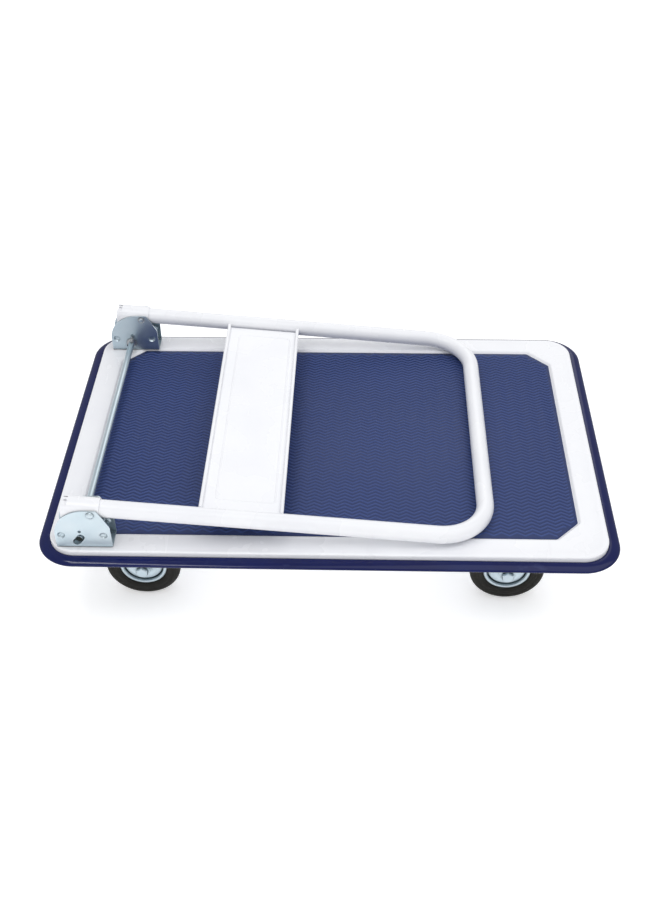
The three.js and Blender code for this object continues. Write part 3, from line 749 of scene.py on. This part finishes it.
def bumper_shape():
    """A round-nosed section with a small lip over the deck's skirt, swept round the deck."""
    low, high = BUMPER_LOW.z, BUMPER_HIGH.z
    proud = BUMPER_HIGH.x - DECK_HIGH.x
    middle = (low + high) / 2
    half = (high - low) / 2
    nose = [
        (BUMPER_FLAT + (proud - BUMPER_FLAT) * math.cos(math.radians(angle)),
         middle + half * math.sin(math.radians(angle)))
        for angle in range(-90, 91, 10)
    ]
    profile = [(GAP, low + 0.6), (GAP + 0.6, low)] + nose + [(GAP + 0.6, high), (GAP, high - 0.6)]
    return rows([deck_loop(out, z) for out, z in profile], ring=True)


def build_deck():
    piece("deck_shell", deck_shape(), PAINT, "platform", "white_paint", ["deck_panel"], sharp=25)
    piece("ribbed_mat", mat_shape(), MAT_VINYL, "platform", "blue_mat", ["deck_mat"], sharp=50)
    piece("bumper", bumper_shape(), PVC, "platform", "blue_pvc", ["edge_bumper"], sharp=60)


# ---------------------------------------------------------------- hinge brackets and release bar


def bracket_outline(low):
    """The outline of a bracket's side plate above a given height, in (along, up)."""
    height = BRACKET_HIGH.z - BRACKET_LOW.z
    length = BRACKET_HIGH.x - BRACKET_LOW.x
    crown = arc((BRACKET_CROWN, BRACKET_BACK), BRACKET_CROWN, 90, 180, 20)
    shoulder = Vector((BRACKET_TOP_END, height))
    front = Vector((length, BRACKET_FRONT))
    return [
        (0, low), (length, low), (length, front.y - 2), (length - 1, front.y + 1),
        (shoulder.x + 1.5, height - 1.8), (shoulder.x - 2, height),
    ] + crown


def slot_outline():
    heading = math.degrees(math.atan2(SLOT_UPPER[1] - SLOT_LOWER[1], SLOT_UPPER[0] - SLOT_LOWER[0]))
    upper = arc(SLOT_UPPER, SLOT_RADIUS, heading - 90, heading + 90, 12)
    return upper + arc(SLOT_LOWER, SLOT_RADIUS, heading + 90, heading + 270, 12)


def circle(centre, radius, steps=28):
    return arc(centre, radius, 0, 360 - 360 / steps, steps - 1)


def dimple_shape(centre, face, inward):
    """A round dish pressed into a plate. Inward is -1 or 1, the way it goes along Y."""
    loops = []
    for share, depth in ((1, 0), (0.92, 0.2), (0.78, 0.6), (0.6, 0.86), (0.3, 0.97), (0.02, 1)):
        ring = circle(centre, DIMPLE_RADIUS * share)
        loops.append([(x, face + inward * depth * DIMPLE_DEPTH, z) for x, z in ring])
    for share, depth in ((0.02, 1), (0.6, 0.86), (0.92, 0.2), (1, 0)):
        ring = circle(centre, DIMPLE_RADIUS * share)
        loops.append([(x, face + inward * (depth * DIMPLE_DEPTH + BRACKET_SHEET), z) for x, z in ring])
    return rows(loops, ring=True)


def bracket_shape():
    """Two side plates with their holes and dimples, and the bent base between them."""
    width = BRACKET_HIGH.y - BRACKET_LOW.y
    length = BRACKET_HIGH.x - BRACKET_LOW.x
    sheet, bend = BRACKET_SHEET, BRACKET_BEND
    openings = [circle(PIVOT_ALONG, PIVOT_HOLE), circle(SPRING_HOLE, SPRING_HOLE_RADIUS), slot_outline()]
    openings += [circle(dimple, DIMPLE_RADIUS) for dimple in DIMPLES]
    outline = bracket_outline(bend - 0.05)
    near_plate = prism(outline, 0, sheet, "y", openings)
    far_plate = prism(outline, width - sheet, width, "y", openings)
    dimples = [dimple_shape(dimple, 0, 1) for dimple in DIMPLES]
    dimples += [dimple_shape(dimple, width, -1) for dimple in DIMPLES]
    section = arc((bend, bend), bend, 180, 270, 6) + arc((width - bend, bend), bend, 270, 360, 6)
    section += arc((width - bend, bend), bend - sheet, 360, 270, 6)
    section += arc((bend, bend), bend - sheet, 270, 180, 6)
    base = prism(section, 0, length, "x")
    shape = joined(near_plate, far_plate, base, *dimples)
    return shifted(shape, BRACKET_LOW.x, BRACKET_LOW.y, BRACKET_LOW.z)


def dome_head(radius, height):
    """A round head about Y, its flat underside at 0 and its crown at -height."""
    profile = [(0, -height)]
    profile += [
        (radius * math.sin(math.radians(angle)), -height * math.cos(math.radians(angle)))
        for angle in range(10, 81, 10)
    ]
    profile += [(radius, -height * 0.12), (radius, 0), (0, 0)]
    return lathe(profile)


def rivet_shape():
    high = corners("bracket_rivet_near_1")[1]
    top = DECK_TOP + RIVET_SEAT
    upper = placed(dome_head(RIVET_HEAD, high.z - top), Matrix.Rotation(math.radians(-90), 4, "X"))
    under = placed(dome_head(RIVET_HEAD, RIVET_TAIL_HEIGHT), Matrix.Rotation(math.radians(90), 4, "X"))
    underside = DECK_TOP - DECK_SHEET - GAP
    post = upright(rod(RIVET_SHANK, underside, top, chamfer=0.1))
    return joined(shifted(upper, z=top), shifted(under, z=underside), post)


def build_hinges():
    outer = BRACKET_LOW.y
    inner = BRACKET_HIGH.y
    bar_middle = (BAR_LOW + BAR_HIGH) / 2
    for side, mirror in SIDES:
        def fit(name, shape, material, slot, nodes, body="platform", **options):
            piece(f"{name}_{side}", placed(shape, mirror), material, body, slot, nodes, **options)

        fit("bracket", bracket_shape(), ZINC, "zinc", [f"hinge_bracket_{side}"], sharp=16)
        for i, along in enumerate(RIVETS):
            rivet = shifted(rivet_shape(), BRACKET_LOW.x + along, -LEG_Y)
            fit(f"rivet_{i + 1}", rivet, ZINC, "zinc", [f"bracket_rivet_{side}_{i + 1}"])

        head = shifted(dome_head(PIVOT_HEAD, PIVOT_HEAD_HEIGHT), HINGE.x, outer - GAP, HINGE.z)
        shank = shifted(rod(PIVOT_RADIUS, outer - 1, inner + PIVOT_END), HINGE.x, 0, HINGE.z)
        fit("pivot", joined(head, shank), ZINC, "zinc", [f"pivot_pin_{side}"])
        pin_clip = clip_shape(PIVOT_CLIP_BORE, PIVOT_CLIP_RADIUS, inner + GAP, PIVOT_CLIP_THICK)
        pin_clip = shifted(pin_clip, HINGE.x, 0, HINGE.z)
        fit("pivot_washer", pin_clip, SPRING_STEEL, "spring_steel", [f"pivot_clip_{side}"])

        clip = clip_shape(BAR_RADIUS + 0.2, BAR_CLIP_RADIUS, inner + GAP, BAR_CLIP_THICK)
        clip = shifted(clip, bar_middle.x, 0, bar_middle.z)
        fit("clip", clip, SPRING_STEEL, "spring_steel", [f"release_bar_clip_{side}"], "release_bar")
        coil, foot, top = spring_shape(bar_middle)
        held = ("platform", mirror @ foot * MM, mirror @ top * MM)
        fit("spring", coil, SPRING_STEEL, "spring_steel", [f"return_spring_{side}"], "release_bar",
            across=held)

    bar = rod(BAR_RADIUS, BAR_LOW.y + 0.1, BAR_HIGH.y - 0.1, chamfer=0.7)
    bar = shifted(bar, bar_middle.x, 0, bar_middle.z)
    piece("bar", bar, ZINC, "release_bar", "zinc", ["release_bar"])
    # Each end of the bar gets a near-black disc of painted shade, standing in for the shade inside the bracket's
    # slot.
    for side, mirror in SIDES:
        cap = rod(BAR_RADIUS - 0.6, BAR_LOW.y, BAR_LOW.y + 1, chamfer=0.2)
        end = shifted(cap, bar_middle.x, 0, bar_middle.z)
        piece(f"bar_end_{side}", placed(end, mirror), SLOT_SHADE_DISC, "release_bar", "spring_steel")


def clip_shape(bore, radius, low, thick):
    """A dished push-on washer about Y."""
    waist = (bore + radius) / 2
    profile = [
        (bore, low + thick), (bore, low + thick * 0.6), (waist, low), (radius, low + thick * 0.25),
        (radius, low + thick * 0.65), (waist, low + thick * 0.45), (bore, low + thick),
    ]
    return lathe(profile)


def spring_shape(bar_middle):
    """A coil that leans from the bar to the bracket's spring hole, with its foot and its top."""
    low, high = corners("return_spring_near")
    middle = (low + high) / 2
    lean = math.atan2(SPRING_HOLE[0] - (bar_middle.x - BRACKET_LOW.x),
                      SPRING_HOLE[1] - (bar_middle.z - BRACKET_LOW.z))
    length = high.z - low.z - SPRING_ENDS
    steps = SPRING_TURNS * SPRING_STEPS
    path = []
    for step in range(steps + 1):
        angle = 2 * math.pi * step / SPRING_STEPS
        path.append((SPRING_COIL * math.cos(angle), SPRING_COIL * math.sin(angle),
                     (step / steps - 0.5) * length))
    coil = wire(path, SPRING_WIRE)
    place = Matrix.Translation(middle) @ Matrix.Rotation(lean, 4, "Y")
    foot = place @ Vector((0, 0, -length / 2))
    top = place @ Vector((0, 0, length / 2))
    return placed(coil, place), foot, top


# ---------------------------------------------------------------- handle

TILT = math.asin((HINGE.z - TUBE_LOW.z - TUBE_RADIUS) / (TUBE_REACH - TUBE_RADIUS))
HANDLE_PLACE = Matrix.Translation(HINGE) @ Matrix.Rotation(TILT, 4, "Y")


def in_handle(shape):
    """A shape in the handle's own frame: the pivots at the origin and its legs along +X."""
    return placed(shape, HANDLE_PLACE)


def handle_path():
    cross = TUBE_REACH - TUBE_RADIUS
    path = [(-TUBE_TAIL, -LEG_Y, 0)]
    for side, start in ((-1, -90), (1, 0)):
        centre = (cross - TUBE_BEND, side * (LEG_Y - TUBE_BEND))
        path += [(x, y, 0) for x, y in arc(centre, TUBE_BEND, start, start + 90, 24)]
    path.append((-TUBE_TAIL, LEG_Y, 0))
    return path


def handle_tube_shape():
    """The bent tube, open at both ends, with its bore as an inner wall."""
    path = handle_path()
    outer = circle((0, 0), TUBE_RADIUS, 40)
    inner = circle((0, 0), TUBE_RADIUS - TUBE_WALL, 40)
    points, faces = swept(path, outer)
    bore_points, bore_faces = swept(path, inner)
    count = len(points)
    ring = len(outer)
    walls = faces[:-2] + [[count + i for i in reversed(face)] for face in bore_faces[:-2]]
    for start in (0, count - ring):
        for i in range(ring):
            k = (i + 1) % ring
            walls.append([start + i, start + k, count + start + k, count + start + i])
    return list(points) + list(bore_points), walls


def saddle_shape():
    """A sheet folded over the top and the sides of the near leg's tail."""
    inner = TUBE_RADIUS + GAP
    outer = inner + SADDLE_SHEET
    inside = SADDLE_CORNER - SADDLE_SHEET
    half_outer = outer - SADDLE_CORNER
    section = [(-LEG_Y - outer, -SADDLE_SIDE), (-LEG_Y - inner, -SADDLE_SIDE)]
    section += arc((-LEG_Y - inner + inside, inner - inside), inside, 180, 90, 8)
    section += arc((-LEG_Y + inner - inside, inner - inside), inside, 90, 0, 8)
    section += [(-LEG_Y + inner, -SADDLE_SIDE), (-LEG_Y + outer, -SADDLE_SIDE)]
    section += arc((-LEG_Y + half_outer, half_outer), SADDLE_CORNER, 0, 90, 8)
    section += arc((-LEG_Y - half_outer, half_outer), SADDLE_CORNER, 90, 180, 8)
    return prism(section, -TUBE_TAIL, SADDLE_END, "x")


def panel_shape():
    """The cross panel: a sheet with a rolled rim along each long edge and a pressed frame."""
    weld = LEG_Y - TUBE_RADIUS - GAP
    half_width = PANEL_WIDTH / 2
    half = PANEL_SHEET / 2
    sheet = prism(
        [(PANEL_START + 2, -half), (PANEL_END - 2, -half), (PANEL_END - 2, half), (PANEL_START + 2, half)],
        -half_width, half_width, "y",
    )
    rims = []
    radius = 2.4
    low = -PANEL_RIM_DOWN + radius
    high = PANEL_RIM_UP - radius
    for start in (PANEL_START, PANEL_END - PANEL_RIM):
        left = start + radius
        right = start + PANEL_RIM - radius
        section = arc((left, low), radius, 180, 270, 6) + arc((right, low), radius, 270, 360, 6)
        section += arc((right, high), radius, 0, 90, 6) + arc((left, high), radius, 90, 180, 6)
        rims.append(prism(section, -weld, weld, "y"))
    return joined(sheet, *rims, pressed_frame())


def pressed_frame():
    """A low bead that frames the middle of the panel."""
    inset_x = 18
    inset_y = 22
    corner = 8
    low_x = PANEL_START + PANEL_RIM + inset_x
    high_x = PANEL_END - PANEL_RIM - inset_x * 0.5
    half_y = PANEL_WIDTH / 2 - inset_y
    middle_x = (low_x + high_x) / 2
    half_x = (high_x - low_x) / 2
    spine = []
    for quarter, (sx, sy) in enumerate(((1, 1), (-1, 1), (-1, -1), (1, -1))):
        centre = (middle_x + sx * (half_x - corner), sy * (half_y - corner))
        spine += arc(centre, corner, quarter * 90, quarter * 90 + 90, 8)
    loops = []
    bead = ((-1.6, 0), (-0.8, 0.45), (0, 0.6), (0.8, 0.45), (1.6, 0), (0, -0.4))
    for i, (x, y) in enumerate(spine):
        ahead = Vector(spine[(i + 1) % len(spine)]) - Vector(spine[i - 1])
        ahead.normalize()
        out = Vector((ahead.y, -ahead.x))
        base = PANEL_SHEET / 2
        loops.append([(x + out.x * a, y + out.y * a, base + up) for a, up in bead])
    return rows(loops, ring=True)


def build_handle():
    tube = piece(
        "tube", in_handle(handle_tube_shape()), PAINT, "handle", "white_paint", ["handle_tube"],
    )
    notch_low = -TUBE_TAIL - 1
    notch_high = NOTCH_LENGTH - TUBE_TAIL
    outline = [
        (notch_low, NOTCH_FLOOR), (notch_high, NOTCH_FLOOR),
        (notch_high, NOTCH_TOP), (notch_low, NOTCH_TOP),
    ]
    notch = in_handle(prism(outline, -LEG_Y - NOTCH_HALF, -LEG_Y + NOTCH_HALF, "y"))
    cut_away(tube, notch, placed(notch, FAR))
    for side, mirror in SIDES:
        saddle = placed(in_handle(saddle_shape()), mirror)
        obj = piece(
            f"saddle_{side}", saddle, PAINT, "handle", "white_paint", [f"handle_saddle_{side}"],
        )
        cut_away(obj, placed(notch, mirror))
    piece("panel", in_handle(panel_shape()), PAINT, "handle", "white_paint", ["handle_panel"])


# ---------------------------------------------------------------- castors

def tyre_shape():
    """A round-shouldered solid tyre with a moulded line on each flank."""
    flank = WHEEL_HALF
    seat = RIM_RADIUS + GAP
    half = [
        (seat, flank - 4), (seat + 1.5, flank - 2), (seat + 5, flank - 0.4), (seat + 9, flank),
        (seat + 10, flank - 0.5), (seat + 11, flank - 0.5), (seat + 12, flank),
    ]
    half += [
        (WHEEL_RADIUS - 9 + 9 * math.sin(math.radians(angle)), flank - 9 + 9 * math.cos(math.radians(angle)))
        for angle in range(0, 91, 10)
    ]
    profile = [(r, -y) for r, y in half] + [(r, y) for r, y in reversed(half)]
    return lathe(profile + [profile[0]], 96)


def rim_shape():
    """A pressed rim: bright flange, groove, domed disc with a ring pressed in it, and hub."""
    half = [
        (8.6, 19), (12, 19), (13, 18.4), (13, 9), (14.5, 7.4), (18, 6.8), (21, 8.2), (25, 9.4),
        (28.5, 9.6), (30.8, 8.6), (31.7, 4.5), (32.7, 4.5), (33.5, 10.5), (34.6, 12.2),
        (RIM_RADIUS - 2, 12.6), (RIM_RADIUS - 0.6, 12), (RIM_RADIUS, 11),
    ]
    profile = [(r, -y) for r, y in half] + [(r, y) for r, y in reversed(half)]
    return lathe(profile + [profile[0]], 72)


def axle_shape(x, centre_y, with_nut):
    """The axle's head or its nut, outside the fork's leg."""
    centre = Matrix.Translation((x, centre_y, AXLE_HEIGHT))
    if with_nut:
        return placed(hex_piece(AXLE_FLATS, AXLE_FACE, AXLE_FACE + AXLE_NUT, AXLE_NUT_BORE), centre)
    head = hex_piece(AXLE_FLATS, -AXLE_FACE - AXLE_HEAD, -AXLE_FACE)
    shank = rod(AXLE_RADIUS, -AXLE_FACE - 1, AXLE_FACE + AXLE_END, chamfer=1)
    return placed(joined(head, shank), centre)


def mounting_bolts(x):
    """Four bolts with nuts and washers, through a castor's plate and the channel above it."""
    shapes = []
    radius = CASTOR_BOLT / 2
    plate_low = CASTOR_HEIGHT - CASTOR_PLATE
    channel_high = CASTOR_HEIGHT + GAP + CHANNEL_SHEET
    for sx in (-1, 1):
        for sy in (-1, 1):
            head = hex_piece(BOLT_FLATS, -channel_high - BOLT_HEAD, -channel_high)
            shank = rod(radius, -channel_high - 1, -plate_low + BOLT_END)
            nut = hex_piece(BOLT_FLATS, -plate_low + BOLT_NUT[0], -plate_low + BOLT_NUT[1])
            washer = rod(WASHER_RADIUS, -plate_low, -plate_low + WASHER_THICK, chamfer=0.3)
            bolt = placed(joined(head, shank, nut, washer), Matrix.Rotation(math.radians(-90), 4, "X"))
            shapes.append(shifted(bolt, x + sx * CASTOR_HOLES[0], -CASTOR_Y + sy * CASTOR_HOLES[1]))
    return joined(*shapes)


def build_castors():
    for side, mirror in SIDES:
        for kind in ("fixed", "swivel"):
            name = f"{kind}_{side}"
            low, high = corners(f"tyre_{name}")
            axle_x = (low.x + high.x) / 2
            carrier = "platform" if kind == "fixed" else f"castor_{side}"
            centre = Matrix.Translation((axle_x, -CASTOR_Y, AXLE_HEIGHT))

            def fit(label, shape, material, slot, nodes, body):
                piece(f"{label}_{name}", placed(shape, mirror), material, body, slot, nodes)

            fit("rubber", placed(tyre_shape(), centre), RUBBER, "tyre", [f"tyre_{name}"], f"wheel_{name}")
            fit("disc", placed(rim_shape(), centre), ZINC, "zinc", [f"wheel_rim_{name}"], f"wheel_{name}")
            bolt = axle_shape(axle_x, -CASTOR_Y, False)
            fit("axle_bolt", bolt, ZINC, "zinc", [f"axle_{name}"], carrier)
            nut = axle_shape(axle_x, -CASTOR_Y, True)
            fit("axle_lock", nut, ZINC, "zinc", [f"axle_nut_{name}"], carrier)
            plate = f"fixed_fork_{side}" if kind == "fixed" else f"swivel_plate_{side}"
            plate_low, plate_high = corners(plate)
            plate_x = (plate_low.x + plate_high.x) / 2
            fit("mounting_bolts", mounting_bolts(plate_x), ZINC, "zinc", [], "platform")


# ---------------------------------------------------------------- CAD nodes that stay

def dress_cad_nodes():
    """Gives each node still shown its finish and slightly rounded edges."""
    slot_of = {part["node"]: part["material_slot"] for part in frame["record"]["subparts"]}
    for name, obj in frame["nodes"].items():
        if obj.hide_render:
            continue
        obj.data.materials.clear()
        obj.data.materials.append(FINISH_OF_SLOT[slot_of[name]])
        obj.data.set_sharp_from_angle(angle=math.radians(35))
        round_edges(obj, 0.4)


# ---------------------------------------------------------------- floor, light and camera

def build_studio():
    half = FLOOR_SIZE / 2
    mesh = bpy.data.meshes.new("floor")
    corners_of_floor = [(-half, -half, 0), (half, -half, 0), (half, half, 0), (-half, half, 0)]
    mesh.from_pydata([Vector(point) * MM for point in corners_of_floor], [], [[0, 1, 2, 3]])
    mesh.materials.append(pale_floor())
    floor = bpy.data.objects.new("floor", mesh)
    bpy.context.scene.collection.objects.link(floor)

    world = bpy.data.worlds.new("studio")
    world.use_nodes = True
    background = world.node_tree.nodes["Background"]
    background.inputs["Color"].default_value = (1, 1, 1, 1)
    background.inputs["Strength"].default_value = 0.62
    bpy.context.scene.world = world
    bpy.context.scene.view_settings.view_transform = "Standard"

    soft_light("overhead", (1.3, -0.5, 3.0), (0, 0, 0), 3.2, 34)
    soft_light("back", (0.5, 3.4, 2.7), (0, 0, 0.1), 2.4, 20)
    soft_light("front", (-0.8, -3.0, 1.2), (0, 0, 0.1), 1.2, 7)
    soft_light("strip", (-0.85, -0.55, 2.7), (-0.3, -0.3, 0.1), 2.0, 14, width=0.2)


def soft_light(name, place, target, size, power, width=None):
    data = bpy.data.lights.new(name, "AREA")
    data.shape = "RECTANGLE"
    data.size = size
    data.size_y = width or size
    data.energy = power
    obj = bpy.data.objects.new(name, data)
    obj.location = place
    obj.rotation_euler = (Vector(target) - Vector(place)).to_track_quat("-Z", "Y").to_euler()
    bpy.context.scene.collection.objects.link(obj)


CAMERA_PLACE = (0.0524, -1.6018, 1.5077)
CAMERA_DOWN = 40.27
CAMERA_YAW = -2.02
CAMERA_ROLL = -0.67
CAMERA_LENS = 47.67


def build_camera():
    down, yaw, roll = (math.radians(angle) for angle in (CAMERA_DOWN, CAMERA_YAW, CAMERA_ROLL))
    ahead = Vector((math.sin(yaw) * math.cos(down), math.cos(yaw) * math.cos(down), -math.sin(down)))
    level = Vector((math.cos(yaw), -math.sin(yaw), 0))
    right = math.cos(roll) * level + math.sin(roll) * level.cross(ahead)
    up = right.cross(ahead)
    turn = Matrix((right, up, -ahead)).transposed()
    data = bpy.data.cameras.new("camera")
    data.lens = CAMERA_LENS
    camera = bpy.data.objects.new("camera", data)
    camera.matrix_world = Matrix.Translation(CAMERA_PLACE) @ turn.to_4x4()
    bpy.context.scene.collection.objects.link(camera)
    bpy.context.scene.camera = camera


build_camera()
build_studio()
build_deck()
build_hinges()
build_handle()
build_castors()
dress_cad_nodes()
